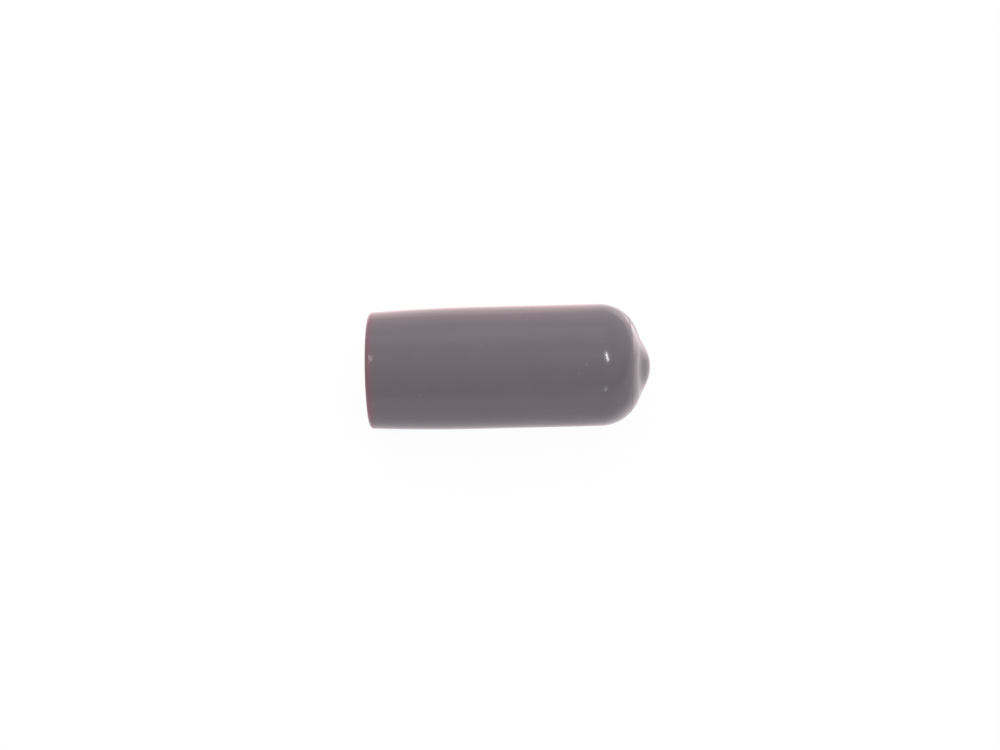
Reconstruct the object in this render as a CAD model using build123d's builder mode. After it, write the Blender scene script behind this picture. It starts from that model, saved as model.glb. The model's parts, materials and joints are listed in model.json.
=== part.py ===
from build123d import *
import os

# Pencil cap: a soft vinyl sleeve closed at one end, dip moulded in one piece.
# All sizes are in millimetres.
# The bore lies along X. Its mouth is in the plane X = 0 and the closed end points to +X.
# The cap lies on its side with +Z up, so the skirt's lowest line rests on the table.

# Bore, which takes the shape of the pin that was dipped
bore_diameter = 7.1
bore_depth = 19.2
bore_end_rounding = 2.0

# Coat of vinyl around the bore
skirt_wall = 1.15
end_wall = 1.62
shoulder_rounding = 3.1

# Lip at the mouth, where the coat thins out
lip_wall = 0.93
lip_thinning_length = 8.0
lip_outer_rounding = 0.35
lip_inner_rounding = 0.25

# Nib where the last drop of vinyl set in the middle of the closed end
nib_height = 0.78
nib_tip_radius = 2.9
nib_hollow_radius = 5.0

# Sizes that follow from those above
bore_radius = bore_diameter / 2
skirt_radius = bore_radius + skirt_wall
lip_radius = bore_radius + lip_wall
end_plane = bore_depth + end_wall
shoulder_start = end_plane - shoulder_rounding
nib_tip = end_plane + nib_height

os.makedirs("parts", exist_ok=True)

with BuildPart() as cap_shell:
    with BuildSketch(Plane.XY) as half_section:
        with BuildLine():
            # The round shoulder and the nib's round tip, joined by a hollow that touches both
            shoulder = CenterArc(
                center=(shoulder_start, skirt_radius - shoulder_rounding),
                radius=shoulder_rounding,
                start_angle=0,
                arc_size=90,
                mode=Mode.PRIVATE,
            )
            tip = CenterArc(
                center=(nib_tip - nib_tip_radius, 0),
                radius=nib_tip_radius,
                start_angle=0,
                arc_size=90,
                mode=Mode.PRIVATE,
            )
            hollow = ConstrainedArcs(
                (shoulder, Tangency.OUTSIDE),
                (tip, Tangency.OUTSIDE),
                radius=nib_hollow_radius,
                selector=lambda arcs: arcs.sort_by(Axis.X)[-1],
            )
            hollow_ends = hollow.vertices().sort_by(Axis.X)

            # Outside, from the lip to the tip of the nib
            TangentArc((lip_thinning_length, skirt_radius), (0, lip_radius), tangent=(-1, 0))
            Line((lip_thinning_length, skirt_radius), (shoulder_start, skirt_radius))
            TangentArc((shoulder_start, skirt_radius), hollow_ends[0], tangent=(1, 0))
            TangentArc((nib_tip, 0), hollow_ends[-1], tangent=(0, 1))

            # Along the axis through the end wall, then back out through the bore
            Polyline(
                (nib_tip, 0),
                (bore_depth, 0),
                (bore_depth, bore_radius),
                (0, bore_radius),
                (0, lip_radius),
            )
        make_face()

        bore_end_corner = half_section.vertices().sort_by_distance((bore_depth, bore_radius))[0]
        fillet(bore_end_corner, bore_end_rounding)
        lip_inner_corner = half_section.vertices().sort_by_distance((0, bore_radius))[0]
        fillet(lip_inner_corner, lip_inner_rounding)
        lip_outer_corner = half_section.vertices().sort_by_distance((0, lip_radius))[0]
        fillet(lip_outer_corner, lip_outer_rounding)
    revolve(axis=Axis.X)

cap_shell.part.label = "cap_shell"
export_step(cap_shell.part, "parts/cap_shell.step")
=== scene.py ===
import json
import math

import bpy
from mathutils import Matrix, Vector
from mathutils.geometry import intersect_sphere_sphere_2d


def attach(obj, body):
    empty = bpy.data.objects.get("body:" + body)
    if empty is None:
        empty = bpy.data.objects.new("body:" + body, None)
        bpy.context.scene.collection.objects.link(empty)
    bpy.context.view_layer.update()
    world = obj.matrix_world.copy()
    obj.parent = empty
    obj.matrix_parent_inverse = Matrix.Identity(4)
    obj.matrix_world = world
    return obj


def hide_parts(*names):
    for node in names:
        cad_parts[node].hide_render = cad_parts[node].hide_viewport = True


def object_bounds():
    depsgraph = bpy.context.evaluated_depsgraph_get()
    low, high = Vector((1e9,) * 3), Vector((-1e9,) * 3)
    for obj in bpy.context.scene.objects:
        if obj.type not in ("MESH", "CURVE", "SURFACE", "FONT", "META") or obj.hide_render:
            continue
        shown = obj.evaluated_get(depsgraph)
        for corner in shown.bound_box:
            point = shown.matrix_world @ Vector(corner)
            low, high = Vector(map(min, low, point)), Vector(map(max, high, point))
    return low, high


# A soft vinyl pencil cap, lying on its side on white paper with its closed end to the right.
# The cap's axis is X, its mouth is in the plane X = 0, and Blender's unit is the metre.

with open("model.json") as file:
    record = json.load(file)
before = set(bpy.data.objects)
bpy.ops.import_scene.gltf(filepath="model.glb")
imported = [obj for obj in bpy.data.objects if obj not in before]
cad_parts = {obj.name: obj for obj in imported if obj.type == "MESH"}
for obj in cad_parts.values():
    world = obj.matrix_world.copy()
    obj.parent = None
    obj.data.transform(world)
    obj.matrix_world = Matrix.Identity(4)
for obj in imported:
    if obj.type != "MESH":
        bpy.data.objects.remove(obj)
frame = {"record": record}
cad_low, cad_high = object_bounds()
MM = 0.001

# Sizes of the cap, from the frame where it holds them
mounts = {mount["name"]: mount for mount in frame["record"]["mounts"]}
CAP_LENGTH = cad_high.x
SKIRT_RADIUS = cad_high.y
TABLE_HEIGHT = cad_low.z
BORE_RADIUS = mounts["pencil_bore"]["dims"]["r_mm"] * MM
BORE_DEPTH = 19.2 * MM
BORE_END_ROUNDING = 2.0 * MM
LIP_WALL = 0.93 * MM
LIP_THINNING_LENGTH = 8.0 * MM
LIP_OUTER_ROUNDING = 0.35 * MM
LIP_INNER_ROUNDING = 0.25 * MM
SHOULDER_ROUNDING = 3.1 * MM
END_WALL = 1.62 * MM
END_PLANE = BORE_DEPTH + END_WALL
NIB_TIP_RADIUS = 2.9 * MM
NIB_HOLLOW_RADIUS = 5.0 * MM

# How closely the surface is divided
SEGMENTS_AROUND = 192
OUTER_STEP = 0.17 * MM
LIP_STEP = 0.06 * MM
LIP_FINE_LENGTH = 1.5 * MM
INNER_STEP = 0.45 * MM
FEWEST_ARC_STEPS = 6
WELD_DISTANCE = 0.002 * MM

# Small faults that dipping leaves
NIB_LEAN = Vector((0, -0.257, 0.143)) * MM
NIB_LEAN_REACH = 5.36 * MM
NIB_GROOVE_PLACE = Vector((20.67, -1.62, 2.13)) * MM
NIB_GROOVE_DEPTH = 0.176 * MM
NIB_GROOVE_REACH = 2.85 * MM
NIB_RUN_PLACE = Vector((20.75, -1.94, -1.03)) * MM
NIB_RUN_HEIGHT = 0.06 * MM
NIB_RUN_REACH = 1.4 * MM
LIP_SET_BACK = Vector((0.07, -0.035, -0.02)) * MM
LIP_SET_BACK_SIDE = Vector((0, 0.88, 0.47))
LIP_SET_BACK_REACH = 7.0 * MM
LIP_DENT_ANGLE = math.radians(73.2)
LIP_DENT_DEPTH = 0.03 * MM
LIP_DENT_REACH = 0.65 * MM
SKIN_WAVE_LENGTH = 5.0 * MM
SKIN_WAVE_DEPTH = 0.02 * MM

# Colours of the vinyl
VINYL_DARK = "#5F585D"
VINYL_LIGHT = "#676065"
# Painted light: a warm glow painted on the lip's edge, standing in for light through the thin lip
PAINTED_LIP_GLOW = "#77525B"
# Painted shade: the darker colour that the pits are given
PIT_PAINTED_SHADE = "#4A4548"
DUST_GREY = "#8A8487"
CLOUD_SIZE = 2.4 * MM
CLOUD_DETAIL = 3
CLOUD_ROUGHNESS = 0.6

# The lip's painted warm glow, which stands in for light through the thin lip: how far it goes along the
# cap, and where it sets in across the lip's wall
LIP_GLOW_FULL = 0.1 * MM
LIP_GLOW_END = 0.8 * MM
LIP_GLOW_INNER_SHARE = 0.33
LIP_GLOW_OUTER_SHARE = 0.62

# Pits and dust
PIT_SPACING = 1.7 * MM
PIT_RADIUS = 0.09 * MM
PIT_DEPTH = 0.008 * MM
DUST_SPACING = 0.9 * MM
DUST_RADIUS = 0.07 * MM
SPOT_CORE = 0.4

# Gloss and fine relief of the vinyl
VINYL_IOR = 1.53
ROUGHNESS_LOW = 0.13
ROUGHNESS_HIGH = 0.19
GLOSS_PATCH_SIZE = 1.6 * MM
SHEEN_WEIGHT = 0.12
SHEEN_ROUGHNESS = 0.3
SHEEN_TINT = "#FFC4CC"
PEEL_SIZE = 0.55 * MM
PEEL_DEPTH = 0.0025 * MM
FINE_DETAIL = 2

# Finish of the bore, which reaches this share of the lip's wall beyond the bore's radius
BORE_EDGE_SHARE = 0.25
BORE_ROUGHNESS = 0.42
DRAW_MARK_LENGTH = 5.0 * MM
DRAW_MARK_WIDTH = 0.15 * MM
DRAW_MARK_DEPTH = 0.01 * MM

# White paper, which the vinyl's gloss mirrors a little warmer than the camera sees it
FLOOR_SIZE = 8.0
PAPER_WHITE = (1.0, 1.0, 1.0, 1)
PAPER_IN_GLOSS = (0.98, 0.93, 0.96, 1)
PAPER_BRIGHTNESS = 0.96
PAPER_DIFFUSE = (0.8, 0.8, 0.8, 1)
PAPER_SHADOW = (0.04, 0.04, 0.04, 1)

# Stretches where the paper is lit brighter, from corner to corner in millimetres.
# A strength of 1 is white, before its tint.
PAPER_GLOW_EDGE = 5.0 * MM
PAPER_GLOWS = (
    # Behind the skirt and behind the shoulder
    dict(low=(-20, 8.9), high=(19.5, 1000), strength=0.78, tint=(1.0, 0.58, 0.6)),
    dict(low=(19.5, 8.9), high=(28.6, 1000), strength=0.4, tint=(1.0, 0.9, 0.92)),
    # Beyond the nib: close to it, behind it and farther off
    dict(low=(22.2, -6.7), high=(38.5, 6.2), strength=0.57, tint=(1.0, 0.82, 0.84)),
    dict(low=(26.2, 6.2), high=(45.8, 15), strength=2.2, tint=(1.0, 0.86, 0.88)),
    dict(low=(28.6, 11), high=(120, 81), strength=0.92, tint=(1.0, 0.75, 0.76)),
    # Along the front of the skirt and of the shoulder, partly under them
    dict(low=(0, -4.7), high=(18.7, -3.4), strength=0.18, tint=(1.0, 0.58, 0.82)),
    dict(low=(18.7, -6.4), high=(22, -3.8), strength=0.48, tint=(1.0, 0.97, 0.98)),
)

# Walls of the room, which brighten towards the back
ROOM_BRIGHT_SIDE = Vector((0.1, 0.9, 0.3)).normalized()
ROOM_DIM = (0.505, 0.525, 0.505, 1)
ROOM_BRIGHT = (1.225, 1.2, 1.222, 1)

# Soft patches on the walls, each in one direction. A patch starts at one angle from that direction and is
# full at another, in degrees.
ROOM_PATCHES = (
    # A darker wall beyond the closed end
    dict(towards=(0.937, -0.332, 0.1), start=38, full=12, blend="MULTIPLY", colour=(0.72, 0.72, 0.72, 1)),
    # A warmer wall at the back, low down
    dict(towards=(0, 1, 0.05), start=30, full=5, blend="ADD", colour=(0.24, 0, 0.03, 1)),
    # A brighter stretch of ceiling
    dict(towards=(0, 0.568, 0.823), start=19, full=0, blend="ADD", colour=(0.39, 0.245, 0.4, 1)),
    # Paper from the horizon down, where the floor ends
    dict(towards=(0, -0.131, -1), start=99.73, full=80.27, blend="MIX", colour=(0.94, 0.893, 0.921, 1)),
)

# Small lamps that leave glints on the vinyl. Angles are in degrees, and a glow of 1 looks as bright as
# white paper.
LAMP_DISTANCE = 0.5
LAMPS = (
    dict(name="shoulder_lamp", azimuth=49.5, elevation=70.2, around=15, along=3, roll=16, glow=37),
    dict(name="front_lamp", azimuth=10, elevation=15, around=9, along=2, roll=-25, glow=7.5),
    dict(name="lip_lamp", azimuth=-78, elevation=71.5, around=3, along=4, roll=0, glow=9.5),
)

# Camera, worked out from the photograph, where the cap is 13.01 px to the millimetre and rises a little to
# the right
IMAGE_WIDTH = 1000
FOCAL_PIXELS = 1554
PIXELS_PER_METRE = 13010
SENSOR_WIDTH = 36.0
CAMERA_CLIP_START = 10 * MM
CAMERA_ELEVATION = math.radians(62)
CAMERA_ROLL = math.radians(1.37)
AIM_ALONG_AXIS = 10.068 * MM
AXIS_ABOVE_CENTER = 0.592 * MM


def arc(center, radius, start, end, step):
    """Points along an arc from one angle to another, without the first point."""
    count = max(FEWEST_ARC_STEPS, round(abs(end - start) * radius / step))
    angles = [start + (end - start) * i / count for i in range(1, count + 1)]
    return [center + radius * Vector((math.cos(angle), math.sin(angle))) for angle in angles]


def run(start, end, step):
    """Points along a straight line, without the first point."""
    count = max(1, round((end - start).length / step))
    return [start.lerp(end, i / count) for i in range(1, count + 1)]


def direction(start, end):
    """Angle of the line from one point to another."""
    return math.atan2(end.y - start.y, end.x - start.x)


def half_section():
    """The cap's outline on one side of its axis, from the nib's tip round the lip to the bore's end."""
    right, top, left, bottom = 0, math.pi / 2, math.pi, 3 * math.pi / 2
    tip_center = Vector((CAP_LENGTH - NIB_TIP_RADIUS, 0))
    shoulder_center = Vector((END_PLANE - SHOULDER_ROUNDING, SKIRT_RADIUS - SHOULDER_ROUNDING))
    hollow_centers = intersect_sphere_sphere_2d(
        tip_center,
        NIB_TIP_RADIUS + NIB_HOLLOW_RADIUS,
        shoulder_center,
        SHOULDER_ROUNDING + NIB_HOLLOW_RADIUS,
    )
    hollow_center = max(hollow_centers, key=lambda point: point.x)
    thinning = SKIRT_RADIUS - BORE_RADIUS - LIP_WALL
    thinning_radius = (LIP_THINNING_LENGTH**2 + thinning**2) / (2 * thinning)
    thinning_center = Vector((LIP_THINNING_LENGTH, SKIRT_RADIUS - thinning_radius))
    lip_reach = LIP_THINNING_LENGTH - LIP_OUTER_ROUNDING
    lip_rise = math.sqrt((thinning_radius - LIP_OUTER_ROUNDING) ** 2 - lip_reach**2)
    lip_center = Vector((LIP_OUTER_ROUNDING, thinning_center.y + lip_rise))
    inner_lip_center = Vector((LIP_INNER_ROUNDING, BORE_RADIUS + LIP_INNER_ROUNDING))
    bore_end_center = Vector((BORE_DEPTH - BORE_END_ROUNDING, BORE_RADIUS - BORE_END_ROUNDING))
    nib_edge = direction(tip_center, hollow_center)
    shoulder_edge = direction(shoulder_center, hollow_center)
    lip_start = math.acos((LIP_FINE_LENGTH - LIP_THINNING_LENGTH) / thinning_radius)
    lip_edge = direction(thinning_center, lip_center)

    points = [Vector((CAP_LENGTH, 0))]
    points += arc(tip_center, NIB_TIP_RADIUS, right, nib_edge, OUTER_STEP)
    points += arc(hollow_center, NIB_HOLLOW_RADIUS, nib_edge + math.pi, shoulder_edge + math.pi, OUTER_STEP)
    points += arc(shoulder_center, SHOULDER_ROUNDING, shoulder_edge, top, OUTER_STEP)
    points += run(points[-1], Vector((LIP_THINNING_LENGTH, SKIRT_RADIUS)), OUTER_STEP)
    points += arc(thinning_center, thinning_radius, top, lip_start, OUTER_STEP)
    points += arc(thinning_center, thinning_radius, lip_start, lip_edge, LIP_STEP)
    points += arc(lip_center, LIP_OUTER_ROUNDING, lip_edge, left, LIP_STEP)
    points += run(points[-1], Vector((0, inner_lip_center.y)), OUTER_STEP)
    points += arc(inner_lip_center, LIP_INNER_ROUNDING, left, bottom, OUTER_STEP)
    points += run(points[-1], Vector((bore_end_center.x, BORE_RADIUS)), INNER_STEP)
    points += arc(bore_end_center, BORE_END_ROUNDING, top, right, INNER_STEP)
    points += run(points[-1], Vector((BORE_DEPTH, 0)), INNER_STEP)
    return points


def press_waves(piece, name, wave_length, depth):
    """Presses soft waves into the piece's skin, never out of it."""
    clouds = bpy.data.textures.new(name, "CLOUDS")
    clouds.noise_scale = wave_length
    wave = piece.modifiers.new(name, "DISPLACE")
    wave.texture = clouds
    wave.texture_coords = "LOCAL"
    wave.strength = depth
    wave.mid_level = 1.0
    bpy.ops.object.modifier_apply(modifier=name)


def nearest_vertex(piece, place):
    """The piece's vertex that lies nearest to a place."""
    return min(piece.data.vertices, key=lambda vertex: (vertex.co - place).length)


def pull(vertex, move, reach):
    """Moves one vertex and draws the skin around it after it, less and less up to the reach."""
    vertex.select = True
    bpy.ops.object.mode_set(mode="EDIT")
    bpy.ops.transform.translate(
        value=move,
        use_proportional_edit=True,
        proportional_edit_falloff="SMOOTH",
        proportional_size=reach,
    )
    bpy.ops.mesh.select_all(action="DESELECT")
    bpy.ops.object.mode_set(mode="OBJECT")


def model_cap():
    """Draws the half section as a chain of points, spins it round the axis and adds the small faults."""
    bpy.ops.object.select_all(action="DESELECT")
    bpy.ops.mesh.primitive_plane_add(size=MM)
    cap = bpy.context.object
    cap.name = "cap_skin"

    # One point drawn out along the outline
    bpy.ops.object.mode_set(mode="EDIT")
    bpy.ops.mesh.select_all(action="SELECT")
    bpy.ops.mesh.merge(type="CENTER")
    outline = half_section()
    bpy.ops.transform.translate(value=(outline[0].x, 0, outline[0].y))
    for here, there in zip(outline, outline[1:]):
        step = there - here
        bpy.ops.mesh.extrude_vertices_move(TRANSFORM_OT_translate={"value": (step.x, 0, step.y)})

    # The outline turned once round the axis
    bpy.ops.mesh.select_all(action="SELECT")
    bpy.ops.mesh.spin(steps=SEGMENTS_AROUND, angle=2 * math.pi, center=(0, 0, 0), axis=(1, 0, 0))
    bpy.ops.mesh.select_all(action="SELECT")
    bpy.ops.mesh.remove_doubles(threshold=WELD_DISTANCE)
    bpy.ops.mesh.normals_make_consistent(inside=False)
    bpy.ops.mesh.select_all(action="DESELECT")
    bpy.ops.object.mode_set(mode="OBJECT")

    # The last drop set a little to one side and drew the closed end after it
    nib_tip = max(cap.data.vertices, key=lambda vertex: vertex.co.x)
    pull(nib_tip, NIB_LEAN, NIB_LEAN_REACH)

    # On the upper front side the vinyl sank as it set, between the shoulder and the drop
    sunk = nearest_vertex(cap, NIB_GROOVE_PLACE)
    pull(sunk, Vector((-NIB_GROOVE_DEPTH, 0, 0)), NIB_GROOVE_REACH)

    # On the lower front side it ran and filled the hollow a little
    filled = nearest_vertex(cap, NIB_RUN_PLACE)
    pull(filled, Vector((NIB_RUN_HEIGHT, 0, 0)), NIB_RUN_REACH)

    # The soft lip lies a little askew
    farthest_back = max(
        cap.data.vertices, key=lambda vertex: vertex.co.dot(LIP_SET_BACK_SIDE) - abs(vertex.co.x)
    )
    pull(farthest_back, LIP_SET_BACK, LIP_SET_BACK_REACH)

    # A soft dent in the lip, near the top
    outwards = Vector((0, -math.cos(LIP_DENT_ANGLE), math.sin(LIP_DENT_ANGLE)))
    dented = max(cap.data.vertices, key=lambda vertex: vertex.co.dot(outwards) - vertex.co.x)
    pull(dented, -LIP_DENT_DEPTH * outwards, LIP_DENT_REACH)

    press_waves(cap, "skin_wave", SKIN_WAVE_LENGTH, SKIN_WAVE_DEPTH)
    bpy.ops.object.shade_smooth()
    return cap


def linear(hex_colour):
    """The linear colour of an sRGB hex value."""
    channels = [int(hex_colour[i:i + 2], 16) / 255 for i in (1, 3, 5)]
    return [c / 12.92 if c <= 0.04045 else ((c + 0.055) / 1.055) ** 2.4 for c in channels] + [1.0]


def add_node(tree, kind, settings=None, **inputs):
    """Adds a node, sets its properties, and sets or links its inputs.

    An input goes by its name, with _ for a space, or by its number after a _. A Mix node's share is
    number 0, its two values are 2 and 3, and its two colours are 6 and 7.
    """
    node = tree.nodes.new(kind)
    for name, value in (settings or {}).items():
        setattr(node, name, value)
    for name, value in inputs.items():
        by_number = name.startswith("_")
        socket = node.inputs[int(name[1:]) if by_number else name.replace("_", " ")]
        if isinstance(value, bpy.types.NodeSocket):
            tree.links.new(value, socket)
        else:
            socket.default_value = value
    return node


def new_material(name):
    """An empty node material."""
    material = bpy.data.materials.new(name)
    material.use_nodes = True
    material.node_tree.nodes.clear()
    return material


def in_bore(tree, along, radius):
    """1 for the bore's finish: within the bore's radius or just beyond it, short of the end wall's middle.

    Besides the bore, this takes in a ring about 0.13 mm wide on the outside of the shoulder.
    """
    within = add_node(
        tree, "ShaderNodeMath", {"operation": "LESS_THAN"},
        _0=radius, _1=BORE_RADIUS + LIP_WALL * BORE_EDGE_SHARE,
    )
    before_end = add_node(
        tree, "ShaderNodeMath", {"operation": "LESS_THAN"}, _0=along, _1=(BORE_DEPTH + END_PLANE) / 2
    )
    bore = add_node(
        tree, "ShaderNodeMath", {"operation": "MULTIPLY"}, _0=within.outputs[0], _1=before_end.outputs[0]
    )
    return bore.outputs[0]


def specks(tree, place, spacing, radius):
    """Small round spots about this far apart, some plain and some faint."""
    cells = add_node(tree, "ShaderNodeTexVoronoi", Vector=place, Scale=1 / spacing)
    spots = add_node(
        tree, "ShaderNodeMapRange", {"interpolation_type": "SMOOTHSTEP"},
        Value=cells.outputs["Distance"],
        From_Min=radius / spacing * SPOT_CORE, From_Max=radius / spacing, To_Min=1, To_Max=0,
    )
    varied = add_node(
        tree, "ShaderNodeMath", {"operation": "MULTIPLY"}, _0=spots.outputs[0], _1=cells.outputs["Color"]
    )
    return varied.outputs[0]


def vinyl_colour(tree, place, along, radius, pits):
    """Grey with faint clouds, a painted warm glow on the lip's edge, pits darkened with painted shade, and
    pale dust.
    """
    # Faint clouds where the pigment isn't quite even
    clouds = add_node(
        tree, "ShaderNodeTexNoise",
        Vector=place, Scale=1 / CLOUD_SIZE, Detail=CLOUD_DETAIL, Roughness=CLOUD_ROUGHNESS,
    )
    grey = add_node(
        tree, "ShaderNodeMix", {"data_type": "RGBA"},
        _0=clouds.outputs["Fac"], _6=linear(VINYL_DARK), _7=linear(VINYL_LIGHT),
    )

    # Painted light: the lip is thin, so a warm glow for the light that comes through it is painted on its
    # outer edge
    near_mouth = add_node(
        tree, "ShaderNodeMapRange", {"interpolation_type": "SMOOTHSTEP"},
        Value=along, From_Min=LIP_GLOW_FULL, From_Max=LIP_GLOW_END, To_Min=1, To_Max=0,
    )
    outside = add_node(
        tree, "ShaderNodeMapRange", {"interpolation_type": "SMOOTHSTEP"},
        Value=radius,
        From_Min=BORE_RADIUS + LIP_WALL * LIP_GLOW_INNER_SHARE,
        From_Max=BORE_RADIUS + LIP_WALL * LIP_GLOW_OUTER_SHARE,
    )
    lip_edge = add_node(
        tree, "ShaderNodeMath", {"operation": "MULTIPLY"}, _0=near_mouth.outputs[0], _1=outside.outputs[0]
    )
    warm = add_node(
        tree, "ShaderNodeMix", {"data_type": "RGBA"},
        _0=lip_edge.outputs[0], _6=grey.outputs[2], _7=linear(PAINTED_LIP_GLOW),
    )

    # Pits where a bubble burst, with painted shade darkening them, and dust that the skin holds
    pit_shaded = add_node(
        tree, "ShaderNodeMix", {"data_type": "RGBA"}, _0=pits, _6=warm.outputs[2], _7=linear(PIT_PAINTED_SHADE)
    )
    dusty = add_node(
        tree, "ShaderNodeMix", {"data_type": "RGBA"},
        _0=specks(tree, place, DUST_SPACING, DUST_RADIUS), _6=pit_shaded.outputs[2], _7=linear(DUST_GREY),
    )
    return dusty.outputs[2]


def vinyl_roughness(tree, place, bore):
    """Satin outside with soft patches of gloss, duller in the bore."""
    patches = add_node(
        tree, "ShaderNodeTexNoise", Vector=place, Scale=1 / GLOSS_PATCH_SIZE, Detail=FINE_DETAIL
    )
    skin = add_node(
        tree, "ShaderNodeMapRange",
        Value=patches.outputs["Fac"], To_Min=ROUGHNESS_LOW, To_Max=ROUGHNESS_HIGH,
    )
    roughness = add_node(
        tree, "ShaderNodeMix", {"data_type": "FLOAT"}, _0=bore, _2=skin.outputs[0], _3=BORE_ROUGHNESS
    )
    return roughness.outputs[0]


def vinyl_relief(tree, place, bore, pits):
    """Fine relief: a touch of orange peel, the pits, and the draw marks that the pin left in the bore."""
    peel = add_node(tree, "ShaderNodeTexNoise", Vector=place, Scale=1 / PEEL_SIZE, Detail=FINE_DETAIL)
    peel_bump = add_node(
        tree, "ShaderNodeBump", Strength=1, Distance=PEEL_DEPTH, Height=peel.outputs["Fac"]
    )
    pit_bump = add_node(
        tree, "ShaderNodeBump", {"invert": True},
        Strength=1, Distance=PIT_DEPTH, Height=pits, Normal=peel_bump.outputs[0],
    )
    stretch = add_node(
        tree, "ShaderNodeMapping",
        Vector=place, Scale=(1 / DRAW_MARK_LENGTH, 1 / DRAW_MARK_WIDTH, 1 / DRAW_MARK_WIDTH),
    )
    marks = add_node(
        tree, "ShaderNodeTexNoise", Vector=stretch.outputs[0], Scale=1, Detail=FINE_DETAIL
    )
    bore_marks = add_node(
        tree, "ShaderNodeMath", {"operation": "MULTIPLY"}, _0=marks.outputs["Fac"], _1=bore
    )
    mark_bump = add_node(
        tree, "ShaderNodeBump",
        Strength=1, Distance=DRAW_MARK_DEPTH, Height=bore_marks.outputs[0], Normal=pit_bump.outputs[0],
    )
    return mark_bump.outputs[0]


def dipped_vinyl():
    """Plasticised grey PVC, dip moulded.

    To the eye it is a smooth satin skin in an almost even grey, with a few pits darkened by painted shade,
    specks of dust, a warm glow painted on the thin lip's edge for the light that comes through it, and a
    duller bore that copies the pin.
    """
    material = new_material("dip_moulded_grey_vinyl")
    tree = material.node_tree
    place = add_node(tree, "ShaderNodeTexCoord").outputs["Object"]
    along = add_node(tree, "ShaderNodeSeparateXYZ", Vector=place).outputs["X"]
    across = add_node(tree, "ShaderNodeVectorMath", {"operation": "MULTIPLY"}, _0=place, _1=(0, 1, 1))
    from_axis = add_node(tree, "ShaderNodeVectorMath", {"operation": "LENGTH"}, _0=across.outputs["Vector"])
    radius = from_axis.outputs["Value"]
    bore = in_bore(tree, along, radius)
    pits = specks(tree, place, PIT_SPACING, PIT_RADIUS)
    shader = add_node(
        tree,
        "ShaderNodeBsdfPrincipled",
        Base_Color=vinyl_colour(tree, place, along, radius, pits),
        Roughness=vinyl_roughness(tree, place, bore),
        Normal=vinyl_relief(tree, place, bore, pits),
        IOR=VINYL_IOR,
        Sheen_Weight=SHEEN_WEIGHT,
        Sheen_Roughness=SHEEN_ROUGHNESS,
        Sheen_Tint=linear(SHEEN_TINT),
    )
    add_node(tree, "ShaderNodeOutputMaterial", Surface=shader.outputs[0])
    return material


def paper_glow(tree):
    """The colour that the brighter stretches add to the paper, fading out over their soft edges."""
    place = add_node(tree, "ShaderNodeTexCoord").outputs["Object"]
    lit = (0, 0, 0, 1)
    for stretch in PAPER_GLOWS:
        low = Vector(stretch["low"]) * MM
        high = Vector(stretch["high"]) * MM
        middle = ((low + high) / 2).to_3d()
        half_size = ((high - low) / 2).to_3d()
        offset = add_node(tree, "ShaderNodeVectorMath", {"operation": "SUBTRACT"}, _0=place, _1=middle)
        reach = add_node(tree, "ShaderNodeVectorMath", {"operation": "ABSOLUTE"}, _0=offset.outputs[0])
        past = add_node(
            tree, "ShaderNodeVectorMath", {"operation": "SUBTRACT"}, _0=reach.outputs[0], _1=half_size
        )
        sides = add_node(tree, "ShaderNodeSeparateXYZ", Vector=past.outputs[0])
        past_edge = add_node(
            tree, "ShaderNodeMath", {"operation": "MAXIMUM"}, _0=sides.outputs["X"], _1=sides.outputs["Y"]
        )
        share = add_node(
            tree, "ShaderNodeMapRange", {"interpolation_type": "SMOOTHSTEP"},
            Value=past_edge.outputs[0],
            From_Min=-PAPER_GLOW_EDGE / 2, From_Max=PAPER_GLOW_EDGE / 2, To_Min=1, To_Max=0,
        )
        added = [stretch["strength"] * channel for channel in stretch["tint"]] + [1]
        lit = add_node(
            tree, "ShaderNodeMix", {"data_type": "RGBA", "blend_type": "ADD"},
            _0=share.outputs[0], _6=lit, _7=added,
        ).outputs[2]
    return lit


def white_paper():
    """Bright paper that looks white to the camera, holds a faint shadow and lights the cap from below."""
    material = new_material("white_paper")
    tree = material.node_tree
    path = add_node(tree, "ShaderNodeLightPath")

    # White where it is looked at, mirrored or seen through something, and diffuse for all other light
    seen = add_node(
        tree, "ShaderNodeMath", {"operation": "MAXIMUM"},
        _0=path.outputs["Is Camera Ray"], _1=path.outputs["Is Glossy Ray"],
    )
    seen = add_node(
        tree, "ShaderNodeMath", {"operation": "MAXIMUM"},
        _0=seen.outputs[0], _1=path.outputs["Is Transmission Ray"],
    )
    colour = add_node(
        tree, "ShaderNodeMix", {"data_type": "RGBA"},
        _0=path.outputs["Is Camera Ray"], _6=PAPER_IN_GLOSS, _7=PAPER_WHITE,
    )
    white = add_node(tree, "ShaderNodeEmission", Color=colour.outputs[2], Strength=PAPER_BRIGHTNESS)
    shadow = add_node(tree, "ShaderNodeBsdfDiffuse", Color=PAPER_SHADOW)
    bright = add_node(tree, "ShaderNodeAddShader", _0=shadow.outputs[0], _1=white.outputs[0])
    diffuse = add_node(tree, "ShaderNodeBsdfDiffuse", Color=PAPER_DIFFUSE)
    paper = add_node(
        tree, "ShaderNodeMixShader", _0=seen.outputs[0], _1=diffuse.outputs[0], _2=bright.outputs[0]
    )

    # The brighter stretches show in the vinyl, not to the camera
    unseen = add_node(
        tree, "ShaderNodeMath", {"operation": "SUBTRACT"}, _0=1, _1=path.outputs["Is Camera Ray"]
    )
    glow = add_node(tree, "ShaderNodeEmission", Color=paper_glow(tree), Strength=unseen.outputs[0])
    whole = add_node(tree, "ShaderNodeAddShader", _0=paper.outputs[0], _1=glow.outputs[0])
    add_node(tree, "ShaderNodeOutputMaterial", Surface=whole.outputs[0])
    return material


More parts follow.
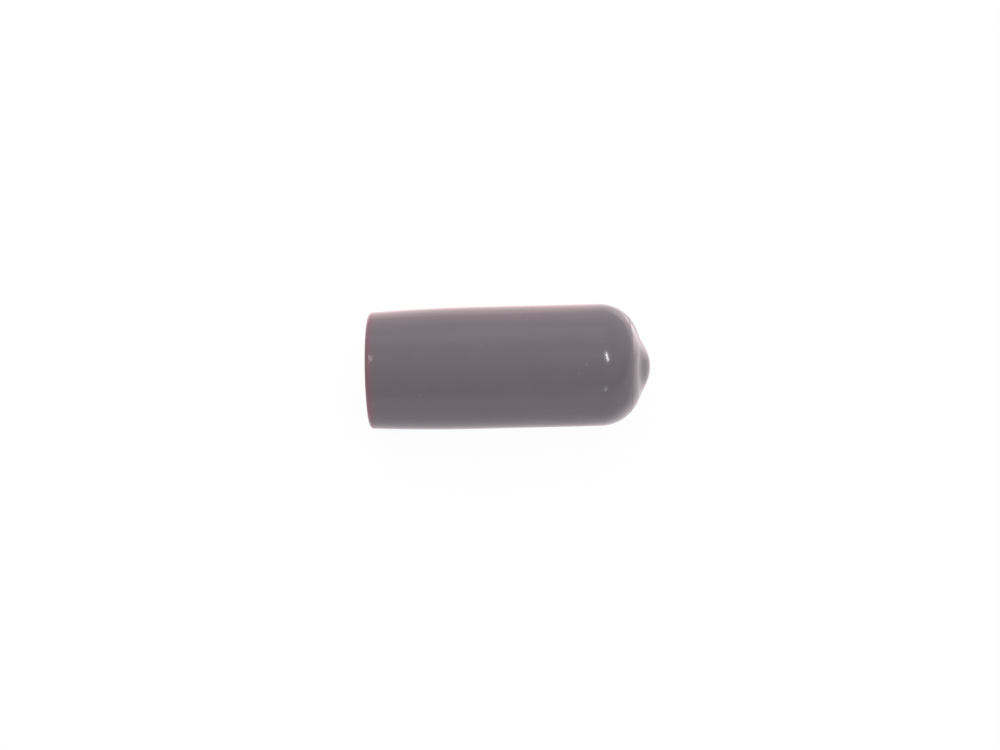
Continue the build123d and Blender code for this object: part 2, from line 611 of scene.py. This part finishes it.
def lay_paper():
    """The sheet that the cap lies on."""
    bpy.ops.object.select_all(action="DESELECT")
    bpy.ops.mesh.primitive_plane_add(size=FLOOR_SIZE, location=(0, 0, TABLE_HEIGHT))
    floor = bpy.context.object
    floor.name = "paper"
    floor.data.materials.append(white_paper())


def pale_walls():
    """A pale room that brightens towards the back, with soft patches. To the camera itself it is white."""
    world = bpy.data.worlds.new("pale_walls")
    world.use_nodes = True
    world.node_tree.nodes.clear()
    tree = world.node_tree
    place = add_node(tree, "ShaderNodeTexCoord").outputs["Generated"]
    side = add_node(
        tree, "ShaderNodeVectorMath", {"operation": "DOT_PRODUCT"}, _0=place, _1=ROOM_BRIGHT_SIDE
    )
    share = add_node(tree, "ShaderNodeMapRange", Value=side.outputs["Value"], From_Min=-1, From_Max=1)
    colour = add_node(
        tree, "ShaderNodeMix", {"data_type": "RGBA"}, _0=share.outputs[0], _6=ROOM_DIM, _7=ROOM_BRIGHT
    )
    for patch in ROOM_PATCHES:
        near = add_node(
            tree, "ShaderNodeVectorMath", {"operation": "DOT_PRODUCT"},
            _0=place, _1=Vector(patch["towards"]).normalized(),
        )
        share = add_node(
            tree, "ShaderNodeMapRange", {"interpolation_type": "SMOOTHSTEP"},
            Value=near.outputs["Value"],
            From_Min=math.cos(math.radians(patch["start"])),
            From_Max=math.cos(math.radians(patch["full"])),
        )
        colour = add_node(
            tree, "ShaderNodeMix", {"data_type": "RGBA", "blend_type": patch["blend"]},
            _0=share.outputs[0], _6=colour.outputs[2], _7=patch["colour"],
        )
    path = add_node(tree, "ShaderNodeLightPath")
    seen = add_node(
        tree, "ShaderNodeMix", {"data_type": "RGBA"},
        _0=path.outputs["Is Camera Ray"], _6=colour.outputs[2], _7=PAPER_WHITE,
    )
    walls = add_node(tree, "ShaderNodeBackground", Color=seen.outputs[2])
    add_node(tree, "ShaderNodeOutputWorld", Surface=walls.outputs[0])
    bpy.context.scene.world = world


def hang_lamp(name, azimuth, elevation, around, along, roll, glow):
    """A flat lamp that faces the cap and is rolled a little.

    It spans one angle around the cap's axis and one along it.
    """
    heading = math.radians(azimuth)
    height = math.sin(math.radians(elevation))
    level = math.cos(math.radians(elevation))
    towards = Vector((math.sin(heading) * level, -math.cos(heading) * level, height))
    side = towards.cross(Vector((1, 0, 0))).normalized()
    facing = Matrix((side, towards.cross(side), towards)).transposed()
    turn = Matrix.Rotation(math.radians(roll), 3, towards) @ facing
    middle = Vector((CAP_LENGTH / 2, 0, 0))

    data = bpy.data.lights.new(name, "AREA")
    data.shape = "RECTANGLE"
    data.size = 2 * LAMP_DISTANCE * math.tan(math.radians(around) / 2)
    data.size_y = 2 * LAMP_DISTANCE * math.tan(math.radians(along) / 2)
    data.energy = glow * math.pi * data.size * data.size_y
    lamp = bpy.data.objects.new(name, data)
    lamp.matrix_world = Matrix.Translation(middle + towards * LAMP_DISTANCE) @ turn.to_4x4()
    bpy.context.scene.collection.objects.link(lamp)


def place_camera():
    """Looks down at the cap with the closed end to the right."""
    back = Vector((0, -math.cos(CAMERA_ELEVATION), math.sin(CAMERA_ELEVATION)))
    level_up = Vector((0, math.sin(CAMERA_ELEVATION), math.cos(CAMERA_ELEVATION)))
    axis = Vector((1, 0, 0))
    right = axis * math.cos(CAMERA_ROLL) - level_up * math.sin(CAMERA_ROLL)
    up = axis * math.sin(CAMERA_ROLL) + level_up * math.cos(CAMERA_ROLL)
    aim = axis * AIM_ALONG_AXIS - up * AXIS_ABOVE_CENTER
    data = bpy.data.cameras.new("camera")
    data.sensor_width = SENSOR_WIDTH
    data.lens = FOCAL_PIXELS / IMAGE_WIDTH * SENSOR_WIDTH
    data.clip_start = CAMERA_CLIP_START
    camera = bpy.data.objects.new("camera", data)
    bpy.context.scene.collection.objects.link(camera)
    turn = Matrix((right, up, back)).transposed().to_4x4()
    camera.matrix_world = Matrix.Translation(aim + back * (FOCAL_PIXELS / PIXELS_PER_METRE)) @ turn
    bpy.context.scene.camera = camera


cap = model_cap()
cap.data.materials.append(dipped_vinyl())
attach(cap, "root")
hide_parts("cap_shell")

lay_paper()
pale_walls()
for lamp in LAMPS:
    hang_lamp(**lamp)
place_camera()
bpy.context.scene.view_settings.view_transform = "Standard"
